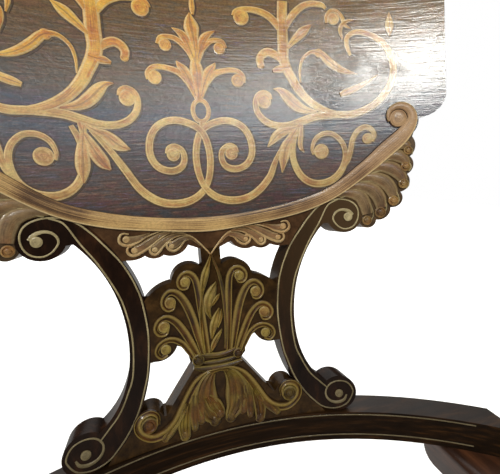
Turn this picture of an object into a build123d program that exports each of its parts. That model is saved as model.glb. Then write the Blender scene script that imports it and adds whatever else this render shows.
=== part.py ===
from build123d import *
from math import acos, cos, degrees, radians, sin, sqrt
import os

# Savonarola folding chair with a lift-out painted tablet back.
# X runs to the right as seen from the front, Y to the rear, Z up.
os.makedirs("parts", exist_ok=True)

# ---------------------------------------------------------------- folding frame
stave_count = 13          # odd ones cross the even ones
frame_mid = -48.9         # middle of the folding frame; the whole chair is centred on Y
stave_t = 20.0            # thickness, front to back
stave_w = 34.0            # width of the curved bar
slat_t = 13.0             # thickness of a seat slat tongue
slat_play = 0.5           # air each side of a tongue
pivot_z = 265.0           # height of the crossing
cross_angle = 18.0        # slope of a stave where it passes the pivot
upper_r = 400.0           # bend of the upper half
lower_r = 300.0           # bend of the lower half
boss_r = 25.0             # round swelling at the crossing
edge_round = 8.0          # softened long edges of arms and runners

arm_z = 610.0             # underside of the arms
arm_w = 64.0
arm_h = 36.0
arm_past = 31.0           # arm beyond the outer staves, to the centre of its front scroll
arm_lip = 6.0             # hollow under the front scroll
arm_lip_run = 8.0
scroll_r = 25.0
eye_r = 18.0              # turned eye on the outer side of a scroll
eye_step_r = 9.0
eye_t = 4.0
eye_step_t = 3.0

foot_w = 60.0
foot_h = 36.0
foot_past = 26.0          # runner beyond the outer staves
foot_nose = 10.0          # rounded end of a runner
foot_setback = 6.0        # its top edge stands back
foot_arch = 6.0           # lift of the runner between its pads
foot_pad = 90.0           # length of a pad

pivot_r = 8.0
pivot_past = 8.0          # pivot rod beyond the outer staves
running_fit = 0.06        # radial play of a turning rod
press_fit = 0.02          # radial play of a collar fixed on its rod
collar_r = 19.0
collar_air = 0.3          # collars and rosettes to the staves
rosette_r = 24.0
rosette_t = 6.0
rosette_mid_r = 14.0
rosette_mid_t = 3.0
button_r = 7.0
button_t = 4.0

seat_rod_r = 6.0
seat_rod_past = 6.0
seat_knob_r = 10.0
seat_knob_t = 5.0
seat_rise = 150.0         # seat rods above the pivot
seat_air = 0.3            # slat above the rod it rests on
slat_h = 16.0
slat_over = 14.0          # past the far rod
hinge_ear_r = 11.0
paddle_w = 32.0           # wide middle of a slat
paddle_corner = 7.0
paddle_start = 36.0       # from its own rod
paddle_end = 166.0

tenon_w = 16.0
tenon_t = 10.0
tenon_h = 14.0
tenon_air = 0.1
mortise_extra = 1.0       # socket deeper than its tenon

# ---------------------------------------------------------------- back
rake = 7.25               # lean of the back, degrees
back_r = 600.0            # plan radius of its front face
board_t = 25.0            # stiles, base block
splat_t = 21.0            # palmette splat and aprons
tablet_t = 22.0
tablet_half = 268.0       # half width of the tablet, round its bend
cross_h = 190.0           # the strands of the splat cross this far above the rail
level_trim = 6.0          # base and stiles run on below the rail's top and are cut off level
band_rise = 3.0           # edge band stands proud of the tablet
roll_r = 11.0             # moulding along the top
roll_sink = 3.0           # how deep it sits on the top edge
roll_short = 2.0          # it ends before the tablet's corner
rail_r = 470.0            # plan radius of the rail's front face
rail_d = 30.0
rail_h = 37.0
rail_over = 25.2          # rail beyond the middle of the arms
rail_past = 40.0          # rail's front face behind the arm ends, on the centre line
dowel_x = 18.0            # tenon of the rail, across
dowel_y = 14.0
dowel_h = 10.0
dowel_back = 2.0          # behind the middle of the rail
dowel_slack = 9.0         # free length of its slot, outwards
dowel_air = 0.3
slot_extra = 0.5          # slot deeper than its tenon

# ---------------------------------------------------------------- worked out
lane = stave_t + slat_t + 2 * slat_play
frame_half = (stave_count - 1) / 2 * lane + stave_t / 2
arm_top = arm_z + arm_h
arm_front = frame_mid - frame_half - arm_past
arm_rear = frame_mid + frame_half + arm_past
foot_front = frame_mid - frame_half - foot_past
foot_rear = frame_mid + frame_half + foot_past
rise_up = (arm_z - pivot_z) / upper_r
arm_end = degrees(acos(cos(radians(cross_angle)) - rise_up))
arm_x = upper_r * (sin(radians(arm_end)) - sin(radians(cross_angle)))
rise_down = (pivot_z - foot_h) / lower_r
foot_end = degrees(acos(cos(radians(cross_angle)) - rise_down))
foot_x = lower_r * (sin(radians(foot_end)) - sin(radians(cross_angle)))
seat_end = degrees(acos(cos(radians(cross_angle)) - seat_rise / upper_r))
seat_x = upper_r * (sin(radians(seat_end)) - sin(radians(cross_angle)))
seat_z = pivot_z + seat_rise
rail_y = arm_rear + rail_past
rail_half = arm_x + rail_over
rail_top = arm_top + rail_h
rail_sag = rail_r - sqrt(rail_r ** 2 - arm_x ** 2)
dowel_mid_y = rail_y - rail_sag + rail_d / 2 + dowel_back
overrun = 7.0             # extra degrees of bend, cut off at arm and foot
end_clear = 2 * frame_half      # beyond both ends of an arm


def save(name, builder):
    builder.part.label = name
    export_step(builder.part, "parts/" + name + ".step")


def lane_y(k):
    return frame_mid + (k - (stave_count - 1) / 2) * lane


# ---------------------------------------------------------------- staves
def bent_bar(centre, radius, start, sweep):
    with BuildLine() as bar:
        outer = CenterArc(centre, radius + stave_w / 2, start, sweep)
        inner = CenterArc(centre, radius - stave_w / 2, start, sweep)
        Line(outer @ 0, inner @ 0)
        Line(outer @ 1, inner @ 1)
    make_face(bar.edges())


def make_stave(k):
    side = 1 if k % 2 == 0 else -1      # +1 runs from the left foot to the right arm
    y_mid = lane_y(k)
    lean = radians(cross_angle)
    with BuildPart() as stave:
        with BuildSketch(Plane.XZ.offset(-y_mid - stave_t / 2)):
            up_centre = (-side * upper_r * sin(lean), pivot_z + upper_r * cos(lean))
            down_centre = (side * lower_r * sin(lean), pivot_z - lower_r * cos(lean))
            up_start = -90 + side * cross_angle
            down_start = 90 + side * cross_angle
            bent_bar(up_centre, upper_r, up_start, side * (arm_end - cross_angle + overrun))
            bent_bar(down_centre, lower_r, down_start, side * (foot_end - cross_angle + overrun))
            with Locations((0, pivot_z)):
                Circle(boss_r)
                Circle(pivot_r + running_fit, mode=Mode.SUBTRACT)
            with Locations((side * seat_x, seat_z)):
                Circle(seat_rod_r + running_fit, mode=Mode.SUBTRACT)
        extrude(amount=stave_t)
        split(bisect_by=Plane.XY.offset(arm_z), keep=Keep.BOTTOM)
        split(bisect_by=Plane.XY.offset(foot_h), keep=Keep.TOP)
        with Locations((side * arm_x, y_mid, arm_z + tenon_h / 2)):
            Box(tenon_w, tenon_t, tenon_h)
        with Locations((-side * foot_x, y_mid, foot_h - tenon_h / 2)):
            Box(tenon_w, tenon_t, tenon_h)
    save("stave_%02d" % (k + 1), stave)


for k in range(stave_count):
    make_stave(k)


def mortises(mid_x, mouth_z, up, first):
    # sockets of the stave tenons in an arm (up = 1) or a runner (up = -1)
    deep = tenon_h + mortise_extra
    for k in range(first, stave_count, 2):
        with Locations((mid_x, lane_y(k), mouth_z + up * deep / 2)):
            Box(tenon_w + 2 * tenon_air, tenon_t + 2 * tenon_air, deep, mode=Mode.SUBTRACT)


# ---------------------------------------------------------------- arms
def make_arm(name, side, first):
    bend_y = arm_rear - arm_h / 2
    with BuildPart() as arm:
        with BuildSketch(Plane.YZ.offset(side * arm_x - arm_w / 2)):
            with BuildLine():
                Line((arm_front, arm_top), (bend_y, arm_top))
                ThreePointArc((bend_y, arm_top), (arm_rear, arm_z + arm_h / 2), (bend_y, arm_z))
                Line((bend_y, arm_z), (frame_mid - frame_half, arm_z))
                ThreePointArc((frame_mid - frame_half, arm_z),
                              (frame_mid - frame_half - arm_lip_run, arm_z + arm_lip),
                              (arm_front, arm_z + arm_lip / 2))
                Line((arm_front, arm_z + arm_lip / 2), (arm_front, arm_top))
            make_face()
            with Locations((arm_front, arm_top - scroll_r)):
                Circle(scroll_r)
        extrude(amount=arm_w)
        with BuildSketch(Plane.XZ.offset(end_clear)):
            with Locations((side * arm_x, arm_top - scroll_r)):
                RectangleRounded(arm_w, 2 * scroll_r, edge_round)
        extrude(amount=-2 * end_clear, mode=Mode.INTERSECT)
        mortises(side * arm_x, arm_z, 1, first)
        # slot of the back's tenon: its inner end bears, its outer end is free
        slot_in = arm_x - dowel_x / 2 - dowel_air
        slot_out = arm_x + dowel_x / 2 + dowel_slack
        slot_deep = dowel_h + slot_extra
        with Locations((side * (slot_in + slot_out) / 2, dowel_mid_y, arm_top - slot_deep / 2)):
            Box(slot_out - slot_in, dowel_y + 2 * dowel_air, slot_deep, mode=Mode.SUBTRACT)
    save(name, arm)


make_arm("arm_right", 1, 0)
make_arm("arm_left", -1, 1)


def disc(plane, x, y, radius, thickness):
    with BuildSketch(plane) as face:
        with Locations((x, y)):
            Circle(radius)
    extrude(face.sketch, amount=thickness)


def make_arm_boss(name, side):
    boss_x = side * (arm_x + arm_w / 2)
    with BuildPart() as boss:
        disc(Plane.YZ.offset(boss_x), arm_front, arm_top - scroll_r, eye_r, side * eye_t)
        disc(Plane.YZ.offset(boss_x + side * eye_t), arm_front, arm_top - scroll_r, eye_step_r, side * eye_step_t)
    save(name, boss)


make_arm_boss("arm_boss_right", 1)
make_arm_boss("arm_boss_left", -1)


# ---------------------------------------------------------------- foot runners
def make_foot(name, side, first):
    with BuildPart() as foot:
        with BuildSketch(Plane.YZ.offset(side * foot_x - foot_w / 2)):
            with BuildLine():
                Line((foot_front, 0), (foot_front + foot_pad, 0))
                ThreePointArc((foot_front + foot_pad, 0), (frame_mid, foot_arch), (foot_rear - foot_pad, 0))
                Line((foot_rear - foot_pad, 0), (foot_rear, 0))
                ThreePointArc((foot_rear, 0), (foot_rear + foot_nose, foot_h / 2),
                              (foot_rear - foot_setback, foot_h))
                Line((foot_rear - foot_setback, foot_h), (foot_front + foot_setback, foot_h))
                ThreePointArc((foot_front + foot_setback, foot_h), (foot_front - foot_nose, foot_h / 2),
                              (foot_front, 0))
            make_face()
        extrude(amount=foot_w)
        with BuildSketch(Plane.XZ.offset(end_clear)):
            with Locations((side * foot_x, 0)):
                RectangleRounded(foot_w, 2 * foot_h, edge_round)
        extrude(amount=-2 * end_clear, mode=Mode.INTERSECT)
        mortises(side * foot_x, foot_h, -1, first)
    save(name, foot)


make_foot("foot_left", -1, 0)
make_foot("foot_right", 1, 1)


# ---------------------------------------------------------------- pivot
def rod(mid_x, mid_z, radius, half):
    with BuildSketch(Plane.XZ.offset(-frame_mid - half)) as section:
        with Locations((mid_x, mid_z)):
            Circle(radius)
    extrude(section.sketch, amount=2 * half)


with BuildPart() as pivot_rod:
    rod(0, pivot_z, pivot_r, frame_half + pivot_past)
save("pivot_rod", pivot_rod)

with BuildPart() as spacer_collars:
    collar_t = lane - stave_t - 2 * collar_air
    for k in range(stave_count - 1):
        collar_y = (lane_y(k) + lane_y(k + 1)) / 2
        with BuildSketch(Plane.XZ.offset(-collar_y - collar_t / 2)):
            with Locations((0, pivot_z)):
                Circle(collar_r)
                Circle(pivot_r + press_fit, mode=Mode.SUBTRACT)
        extrude(amount=collar_t)
save("spacer_collars", spacer_collars)


def make_rosette(name, side):
    # a turned disc with two steps, pushed on the end of the pivot rod
    back_y = frame_mid + side * (frame_half + collar_air)
    step_y = back_y + side * rosette_t
    with BuildPart() as rosette:
        disc(Plane.XZ.offset(-back_y), 0, pivot_z, rosette_r, -side * rosette_t)
        disc(Plane.XZ.offset(-step_y), 0, pivot_z, rosette_mid_r, -side * rosette_mid_t)
        disc(Plane.XZ.offset(-step_y - side * rosette_mid_t), 0, pivot_z, button_r, -side * button_t)
        with BuildSketch(Plane.XZ.offset(-back_y)):
            with Locations((0, pivot_z)):
                Circle(pivot_r + press_fit)
        extrude(amount=-side * (pivot_past - collar_air + press_fit), mode=Mode.SUBTRACT)
    save(name, rosette)


make_rosette("rosette_front", -1)
make_rosette("rosette_rear", 1)


# ---------------------------------------------------------------- seat
def make_seat_rod(name, side):
    rod_half = frame_half + seat_rod_past
    with BuildPart() as seat_rod:
        rod(side * seat_x, seat_z, seat_rod_r, rod_half)
        for end in (-1, 1):
            knob_y = frame_mid + end * rod_half
            disc(Plane.XZ.offset(-knob_y), side * seat_x, seat_z, seat_knob_r, -end * seat_knob_t)
    save(name, seat_rod)


make_seat_rod("seat_rod_left", -1)
make_seat_rod("seat_rod_right", 1)


def make_slat(name, side, y_mid):
    # hinged on the rod on its own side, lying on the far rod
    under = seat_z + seat_rod_r + seat_air
    own = side * seat_x
    far = -own - side * slat_over
    with BuildPart() as slat:
        with BuildSketch(Plane.XZ.offset(-y_mid - slat_t / 2)):
            with BuildLine():
                Polyline((own, under), (far, under), (far, under + slat_h), (own, under + slat_h), close=True)
            make_face()
            with Locations((own, seat_z)):
                Circle(hinge_ear_r)
            with Locations((own + side * hinge_ear_r / 2, under + slat_h / 2 - seat_rod_r)):
                Rectangle(hinge_ear_r, slat_h + seat_rod_r * 2)
            with Locations((own, seat_z)):
                Circle(seat_rod_r + running_fit, mode=Mode.SUBTRACT)
        extrude(amount=slat_t)
        with BuildSketch(Plane.XY.offset(under)) as paddle:
            with Locations((own - side * (paddle_start + paddle_end) / 2, y_mid)):
                Rectangle(paddle_end - paddle_start, paddle_w)
            chamfer(paddle.vertices(), paddle_corner)
        extrude(amount=slat_h)
    save(name, slat)


for k in range(stave_count - 1):
    slat_side = -1 if k % 2 == 0 else 1
    slat_name = "slat_left_%d" if slat_side < 0 else "slat_right_%d"
    make_slat(slat_name % (k // 2 + 1), slat_side, (lane_y(k) + lane_y(k + 1)) / 2)


# ---------------------------------------------------------------- back: outlines and frames
# The outlines of the back are drawn as (s, h): s round the bend from the middle and h up the board,
# both from the place where the strands cross. The tablet's half width sets their size, and
# the height of the crossing sets how far they reach down.
band_low = [(0, 31.5), (50, 36), (100, 43.4), (141, 57.7), (180, 82), (211, 102), (232, 125)]
band_high = [(0, 48), (50, 50.6), (100, 59), (141, 72), (180, 98), (206, 121)]
band_eye = (219.5, 138)
band_eye_r = 18.5
tablet_shoulder = [(238, 141), (258, 146), (268, 168)]
tablet_corner = [(268, 262), (261, 277), (244, 284)]
base_flank = [(0, -112), (25, -112), (60, -158), (100, -163), (124, -196), (0, -196)]
base_eye = (77, -163)
base_eye_r = 15.0

unit = tablet_half / tablet_corner[0][0]
drop = (cross_h + level_trim) / -base_flank[-1][1]
tablet_top = unit * tablet_corner[-1][1]
lean = radians(rake)
back_origin = (0, rail_y + cross_h * sin(lean), rail_top + cross_h * cos(lean))
board_up = (0, sin(lean), cos(lean))
board_out = (0, -cos(lean), sin(lean))
face_plane = Plane(origin=back_origin, x_dir=(1, 0, 0), z_dir=board_out)
plan_plane = Plane(origin=back_origin, x_dir=(1, 0, 0), z_dir=board_up)
blank_front = 90.0        # the flat sketches start this far before the board
blank_deep = 170.0
blank_low = -cross_h - 2 * board_t
blank_tall = tablet_top - blank_low + 2 * board_t


def grown(size, h):
    return size * (unit if h > 0 else drop)


def at(s, h):
    return (back_r * sin(unit * s / back_r), grown(h, h))


def run(points, side=1):
    return [at(side * s, h) for s, h in points]


def mirrored(points):
    return [(-s, h) for s, h in reversed(points[1:])] + points


def cut_blank(proud, deep):
    # leave only what lies in the bent board
    with BuildSketch(plan_plane.offset(blank_low)) as blank:
        with Locations((0, -back_r)):
            Circle(back_r + deep)
            Circle(back_r - proud, mode=Mode.SUBTRACT)
    extrude(blank.sketch, amount=blank_tall, mode=Mode.INTERSECT)


def volute(side, centre, radius):
    with Locations(at(side * centre[0], centre[1])):
        Circle(grown(radius, centre[1]))


# ---------------------------------------------------------------- rail
with BuildPart() as rail:
    with BuildSketch(Plane.XY.offset(arm_top)):
        with Locations((0, rail_y - rail_r)):
            Circle(rail_r + rail_d)
            Circle(rail_r, mode=Mode.SUBTRACT)
        with Locations((0, rail_y)):
            Rectangle(2 * rail_half, 4 * (rail_sag + rail_d), mode=Mode.INTERSECT)
    extrude(amount=rail_h)
    for side in (-1, 1):
        with Locations((side * arm_x, dowel_mid_y, arm_top - dowel_h / 2)):
            Box(dowel_x, dowel_y, dowel_h)
save("back_rail", rail)

# ---------------------------------------------------------------- tablet
with BuildPart() as tablet:
    with BuildSketch(face_plane.offset(blank_front)):
        with BuildLine():
            Spline(run(mirrored(band_low)))
            for side in (-1, 1):
                Line(run([band_low[-1], tablet_shoulder[0]], side))
                ThreePointArc(run(tablet_shoulder, side))
                Line(run([tablet_shoulder[-1], tablet_corner[0]], side))
                ThreePointArc(run(tablet_corner, side))
            Line(run([tablet_corner[-1]], -1) + run([tablet_corner[-1]]))
        make_face()
        for side in (-1, 1):
            volute(side, band_eye, band_eye_r)
    extrude(amount=-blank_deep)
    cut_blank(0, tablet_t)
save("tablet", tablet)

with BuildPart() as edge_band:
    with BuildSketch(face_plane.offset(blank_front)):
        with BuildLine():
            Spline(run(mirrored(band_low)))
            Spline(run(mirrored(band_high)))
            for side in (-1, 1):
                Line(run([band_low[-1], band_high[-1]], side))
        make_face()
        for side in (-1, 1):
            volute(side, band_eye, band_eye_r)
    extrude(amount=-blank_deep)
    cut_blank(band_rise, 0)
save("edge_band", edge_band)

roll_half = (unit * tablet_corner[-1][0] - roll_short) / back_r
roll_centre = plan_plane.from_local_coords((0, -back_r, 0))
roll_start = plan_plane.x_dir * sin(roll_half) + plan_plane.y_dir * cos(roll_half)
roll_plane = Plane(origin=roll_centre, x_dir=roll_start, z_dir=roll_start.cross(plan_plane.z_dir))
with BuildPart() as top_roll:
    with BuildSketch(roll_plane):
        with Locations((back_r + tablet_t / 2, tablet_top + roll_r - roll_sink)):
            Circle(roll_r)
    revolve(axis=Axis(origin=roll_centre, direction=board_up), revolution_arc=degrees(2 * roll_half))
    add(tablet.part, mode=Mode.SUBTRACT)
save("top_roll", top_roll)


# ---------------------------------------------------------------- C-scroll stiles
stile_inner = [(125, 56), (110, 40), (90, 12), (74, -24), (69, -70), (77, -124), (97, -166), (118, -186), (137.5, -192)]
stile_outer = [(129.5, 31), (105, -5), (90.2, -70), (96.5, -115), (108, -138), (127, -156)]
stile_head = [(129.5, 31), (154, 30), (154, 70), (125, 56)]
top_eye = (154, 38.5)
top_eye_r = 19.5
low_eye = (137.5, -171)
low_eye_r = 21.0


def make_stile(name, side):
    with BuildPart() as stile:
        with BuildSketch(face_plane.offset(blank_front)):
            with BuildLine():
                Spline(run(stile_inner, side))
                Line(run([stile_inner[-1], stile_outer[-1]], side))
                Spline(run(stile_outer, side))
                Polyline(run(stile_head, side))
            make_face()
            volute(side, top_eye, top_eye_r)
            volute(side, low_eye, low_eye_r)
        extrude(amount=-blank_deep)
        cut_blank(0, board_t)
        add(tablet.part, mode=Mode.SUBTRACT)
        split(bisect_by=Plane.XY.offset(rail_top), keep=Keep.TOP)
    save(name, stile)
    return stile


stile_left = make_stile("stile_left", -1)
stile_right = make_stile("stile_right", 1)


def fit_behind(*neighbours):
    # the mating faces are taken from the pieces that it meets
    for neighbour in neighbours:
        add(neighbour.part, mode=Mode.SUBTRACT)


# ---------------------------------------------------------------- aprons
apron_root = [(0, 60), (0, 14.3), (10.5, 14.3), (23, 19.6)]
apron_lobes = [(23, 19.6), (37, 10), (48.5, 11.8), (58, 9), (67, 12.8), (75, 10), (84, 10)]
apron_tail = [(84, 10), (100, 10), (126, 60), (0, 60)]


def lobes(points, side):
    for k in range(0, len(points) - 1, 2):
        ThreePointArc(run(points[k:k + 3], side))


def make_apron(name, side, stile):
    with BuildPart() as apron:
        with BuildSketch(face_plane.offset(blank_front)):
            with BuildLine():
                Polyline(run(apron_root, side))
                lobes(apron_lobes, side)
                Polyline(run(apron_tail, side))
            make_face()
        extrude(amount=-blank_deep)
        cut_blank(0, splat_t)
        fit_behind(tablet, stile)
    save(name, apron)


make_apron("apron_left", -1, stile_left)
make_apron("apron_right", 1, stile_right)


# ---------------------------------------------------------------- shell ruffles
ruffle_lobes = [(172.9, 26.3), (180, 22.5), (190, 31), (200, 32.5), (206.4, 44.1), (217, 47), (217.9, 60.6),
                (227.5, 68), (225.7, 79.9), (232.5, 88), (229.3, 99.1), (235, 108), (232.1, 120.6)]
ruffle_root = [(232.1, 120.6), (235, 128), (200, 110), (150, 75), (150, 50), (172.9, 26.3)]


def make_ruffle(name, side, stile):
    with BuildPart() as ruffle:
        with BuildSketch(face_plane.offset(blank_front)):
            with BuildLine():
                lobes(ruffle_lobes, side)
                Polyline(run(ruffle_root, side))
            make_face()
        extrude(amount=-blank_deep)
        cut_blank(0, splat_t)
        fit_behind(tablet, stile)
    save(name, ruffle)


make_ruffle("ruffle_left", -1, stile_left)
make_ruffle("ruffle_right", 1, stile_right)

# ---------------------------------------------------------------- palmette splat
neck = [(0, 14.3), (10.5, 14.3), (10.5, -5)]
palmette_high = [(10.5, -5), (26, 0), (44, -18)]
palmette_wide = [(44, -18), (59, -22.5), (76, -40)]
palmette_side = [(76, -40), (76, -98), (66, -98)]
palmette_low = [(66, -98), (52, -96), (43, -86)]
flank = [(43, -86), (34.5, -92), (31, -105)]
waist = [(31, -105), (25, -112), (0, -112)]

with BuildPart() as palmette:
    with BuildSketch(face_plane.offset(blank_front)):
        with BuildLine():
            for side in (-1, 1):
                Polyline(run(neck, side))
                ThreePointArc(run(palmette_high, side))
                ThreePointArc(run(palmette_wide, side))
                Polyline(run(palmette_side, side))
                ThreePointArc(run(palmette_low, side))
                ThreePointArc(run(flank, side))
                Polyline(run(waist, side))
        make_face()
    extrude(amount=-blank_deep)
    cut_blank(0, splat_t)
    fit_behind(stile_left, stile_right)
save("palmette_splat", palmette)

# ---------------------------------------------------------------- base block
with BuildPart() as base_block:
    with BuildSketch(face_plane.offset(blank_front)):
        with BuildLine():
            for side in (-1, 1):
                Polyline(run(base_flank, side))
        make_face()
        for side in (-1, 1):
            volute(side, base_eye, base_eye_r)
    extrude(amount=-blank_deep)
    cut_blank(0, board_t)
    fit_behind(stile_left, stile_right)
    split(bisect_by=Plane.XY.offset(rail_top), keep=Keep.TOP)
save("base_block", base_block)
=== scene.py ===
import bpy
from math import ceil, cos, pi, radians, sin, sqrt
from mathutils import Matrix, Vector


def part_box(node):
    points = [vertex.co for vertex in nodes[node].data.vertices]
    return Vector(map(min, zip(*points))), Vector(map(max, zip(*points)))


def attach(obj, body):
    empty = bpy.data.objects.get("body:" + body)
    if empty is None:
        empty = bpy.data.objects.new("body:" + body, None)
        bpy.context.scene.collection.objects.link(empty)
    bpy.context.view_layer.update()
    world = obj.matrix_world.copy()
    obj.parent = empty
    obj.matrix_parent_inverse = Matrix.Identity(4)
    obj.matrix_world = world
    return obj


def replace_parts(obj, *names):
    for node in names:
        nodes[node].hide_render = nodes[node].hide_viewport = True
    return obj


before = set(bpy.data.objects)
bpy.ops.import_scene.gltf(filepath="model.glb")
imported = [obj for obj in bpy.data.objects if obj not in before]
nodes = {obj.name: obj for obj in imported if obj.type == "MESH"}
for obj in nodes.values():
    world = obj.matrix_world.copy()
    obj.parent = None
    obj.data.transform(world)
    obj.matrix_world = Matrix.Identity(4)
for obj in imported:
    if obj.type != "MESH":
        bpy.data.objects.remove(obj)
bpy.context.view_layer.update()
MM = 0.001
SIDES = ((-1, "left"), (1, "right"))

# ======== the bent back
# Ornament is drawn as (s, h) in millimetres: s round the bend from the middle, h up the board,
# both from the point where the two strands of the splat cross.
RAKE = radians(7.25)
BACK_R = 600.0
CROSS_H = 190.0  # crossing above the rail
RAIL_R = 470.0
RAIL_D = 30.0
rail_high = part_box("back_rail")[1]
rail_face = rail_high.y / MM - RAIL_D
rail_top = rail_high.z / MM
origin = Vector((0, rail_face + CROSS_H * sin(RAKE), rail_top + CROSS_H * cos(RAKE)))


def on_board(s, h, out=0.0):
    turn = s / BACK_R
    radius = BACK_R - out
    x, y = radius * sin(turn), radius * cos(turn) - BACK_R
    return (origin + Vector((x, y * cos(RAKE) + h * sin(RAKE), h * cos(RAKE) - y * sin(RAKE)))) * MM


def on_rail(s, z, out=0.0):
    # z counts from the rail's top edge
    turn = s / RAIL_R
    radius = RAIL_R - out
    return Vector((radius * sin(turn), rail_face - RAIL_R + radius * cos(turn), rail_top + z)) * MM


def level_above(h):
    return on_board(0, h).z


def put_in_scene(name, data):
    made = bpy.data.objects.new(name, data)
    bpy.context.scene.collection.objects.link(made)
    return made


BEND_AXIS = Vector((0, sin(RAKE), cos(RAKE)))
BEND_AXIS_AT = on_board(0, 0, BACK_R)


# ======== camera
CAMERA_AT = Vector((-59.53, -349.04, 100.13))  # from the crossing, mm
CAMERA_TURN = (radians(-16.593), radians(-11.738), radians(1.735))
IMAGE_W, IMAGE_H = 500, 474
SENSOR_W = 36.0
FOCAL_PX = 339.44
CENTRE_V = 235.0

camera_data = bpy.data.cameras.new("eye_level_in_seat")
camera = put_in_scene("eye_level_in_seat", camera_data)
bpy.context.scene.camera = camera
camera_data.sensor_width = SENSOR_W
camera_data.lens = FOCAL_PX / IMAGE_W * SENSOR_W
camera_data.shift_y = (CENTRE_V - IMAGE_H / 2) / IMAGE_W
camera_data.clip_start = 0.01
yaw, pitch, roll = CAMERA_TURN
look = Matrix.Rotation(yaw, 3, "Z") @ Matrix.Rotation(pitch, 3, "X") @ Matrix.Rotation(roll, 3, "Y")
right, forward, up = (look.col[i] for i in range(3))
stand = Matrix((right, up, -forward)).transposed().to_4x4()
stand.translation = (origin + CAMERA_AT) * MM
camera.matrix_world = stand


# ======== finishes
def colour(hex_code):
    channels = [int(hex_code[i:i + 2], 16) / 255 for i in (1, 3, 5)]
    return [c / 12.92 if c <= 0.04045 else ((c + 0.055) / 1.055) ** 2.4 for c in channels] + [1.0]


def feed(tree, node, sources):
    # a socket, by name or number, takes a node, one of its outputs, a hex colour or a plain value
    for socket, source in sources.items():
        if isinstance(source, bpy.types.Node):
            source = next(out for out in source.outputs if out.enabled)
        if isinstance(source, bpy.types.NodeSocket):
            tree.links.new(source, node.inputs[socket])
        else:
            node.inputs[socket].default_value = colour(source) if isinstance(source, str) else source


def add_node(tree, kind, sources=None, stops=None, **settings):
    # stops: places and shades of a colour ramp
    made = tree.nodes.new("ShaderNode" + kind)
    for name, value in settings.items():
        setattr(made, name, value)
    feed(tree, made, sources or {})
    if stops:
        stops = list(stops)
        elements = made.color_ramp.elements
        while len(elements) < len(stops):
            elements.new(0.5)
        for element, (place, shade) in zip(elements, stops):
            element.position = place
            element.color = colour(shade) if isinstance(shade, str) else (shade, shade, shade, 1.0)
    return made


FACTOR, UNDER, OVER = 0, 6, 7  # a Mix node's sockets: how much, and the two colours


def new_finish(name):
    made = bpy.data.materials.new(name)
    made.use_nodes = True
    tree = made.node_tree
    return made, tree, tree.nodes["Principled BSDF"], add_node(tree, "TexCoord").outputs["Object"]


def layered(tree, paint, layers):
    # each layer has how much of it shows, and its colour
    for much, over in layers:
        paint = add_node(tree, "Mix", {FACTOR: much, UNDER: paint, OVER: over}, data_type="RGBA")
    return paint


def marks(tree, coords, size_mm=None, scale=None, detail=6.0, roughness=0.6, distortion=0.0):
    # noise drawn out along a direction, from the size of its marks along x, y and z
    scale = scale or [round(1000 / size) for size in size_mm]
    mapping = add_node(tree, "Mapping", {"Vector": coords, "Scale": scale})
    return add_node(tree, "TexNoise", {"Vector": mapping, "Scale": 1.0, "Detail": detail,
                                       "Roughness": roughness, "Distortion": distortion})


def off_half(tree, value):
    # how far a value lies from one half
    off = add_node(tree, "Math", {0: value, 1: 0.5}, operation="SUBTRACT")
    return add_node(tree, "Math", {0: off}, operation="ABSOLUTE")


def fade(tree, coords, axis, start, end, low=0.0, high=1.0):
    # from low to high between two places along an axis
    place = add_node(tree, "SeparateXYZ", {0: coords}).outputs[axis]
    return add_node(tree, "MapRange", {0: place, "From Min": start, "From Max": end, "To Min": low,
                                       "To Max": high})


def across_bend(tree, coords):
    # how far a point is from the axis of the back's bend, and which way the hollow face looks
    arm = add_node(tree, "VectorMath", {0: coords, 1: BEND_AXIS_AT}, operation="SUBTRACT")
    around = add_node(tree, "VectorMath", {0: arm, 1: BEND_AXIS}, operation="CROSS_PRODUCT")
    inward = add_node(tree, "VectorMath", {0: around, 1: BEND_AXIS}, operation="CROSS_PRODUCT")
    radius = add_node(tree, "VectorMath", {0: around}, operation="LENGTH")
    facing = add_node(tree, "VectorMath", {0: inward}, operation="NORMALIZE")
    return radius, facing


SUNNED_AT = on_board(150, 208)
LESS_PER_M = 4.6  # how fast the crazing lessens round it


def crazed_here(tree, coords):
    # patches of crazing, worst where the sun fell, high on one side
    patch = marks(tree, coords, (50, 50, 38.5), detail=2)
    far = add_node(tree, "VectorMath", {0: coords, 1: SUNNED_AT}, operation="DISTANCE")
    near = add_node(tree, "Math", {0: far, 1: -LESS_PER_M, 2: patch}, operation="MULTIPLY_ADD")
    return add_node(tree, "MapRange", {0: near, "From Min": 0.20, "From Max": 0.34})


def bent_grain(tree, coords, level=False):
    # brush marks and scratches that run level round the back, with the crazed skin's wrinkles,
    # about twice as wide as real ones, which are too fine to show
    drawn = marks(tree, coords, (41.7, 41.7, 1.923), detail=3, roughness=0.5)
    fine = marks(tree, coords, (5.88, 5.88, 3.03), detail=2, roughness=0.5, distortion=0.8)
    both = add_node(tree, "Math", {0: fine, 1: 0.7, 2: drawn}, operation="MULTIPLY_ADD")
    wrinkles = marks(tree, coords, (3.03, 3.03, 1.923), detail=1, roughness=0.5, distortion=1.8)
    here = add_node(tree, "Math", {0: wrinkles, 1: crazed_here(tree, coords)}, operation="MULTIPLY")
    height = add_node(tree, "Math", {0: here, 1: 1.3, 2: both}, operation="MULTIPLY_ADD")
    skin = add_node(tree, "Bump", {"Height": height, "Strength": 0.5, "Distance": 0.22 * MM})
    if level:
        # the varnish lies level over the paint, as over the board
        feed(tree, skin, {"Normal": across_bend(tree, coords)[1]})
    return skin


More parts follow.
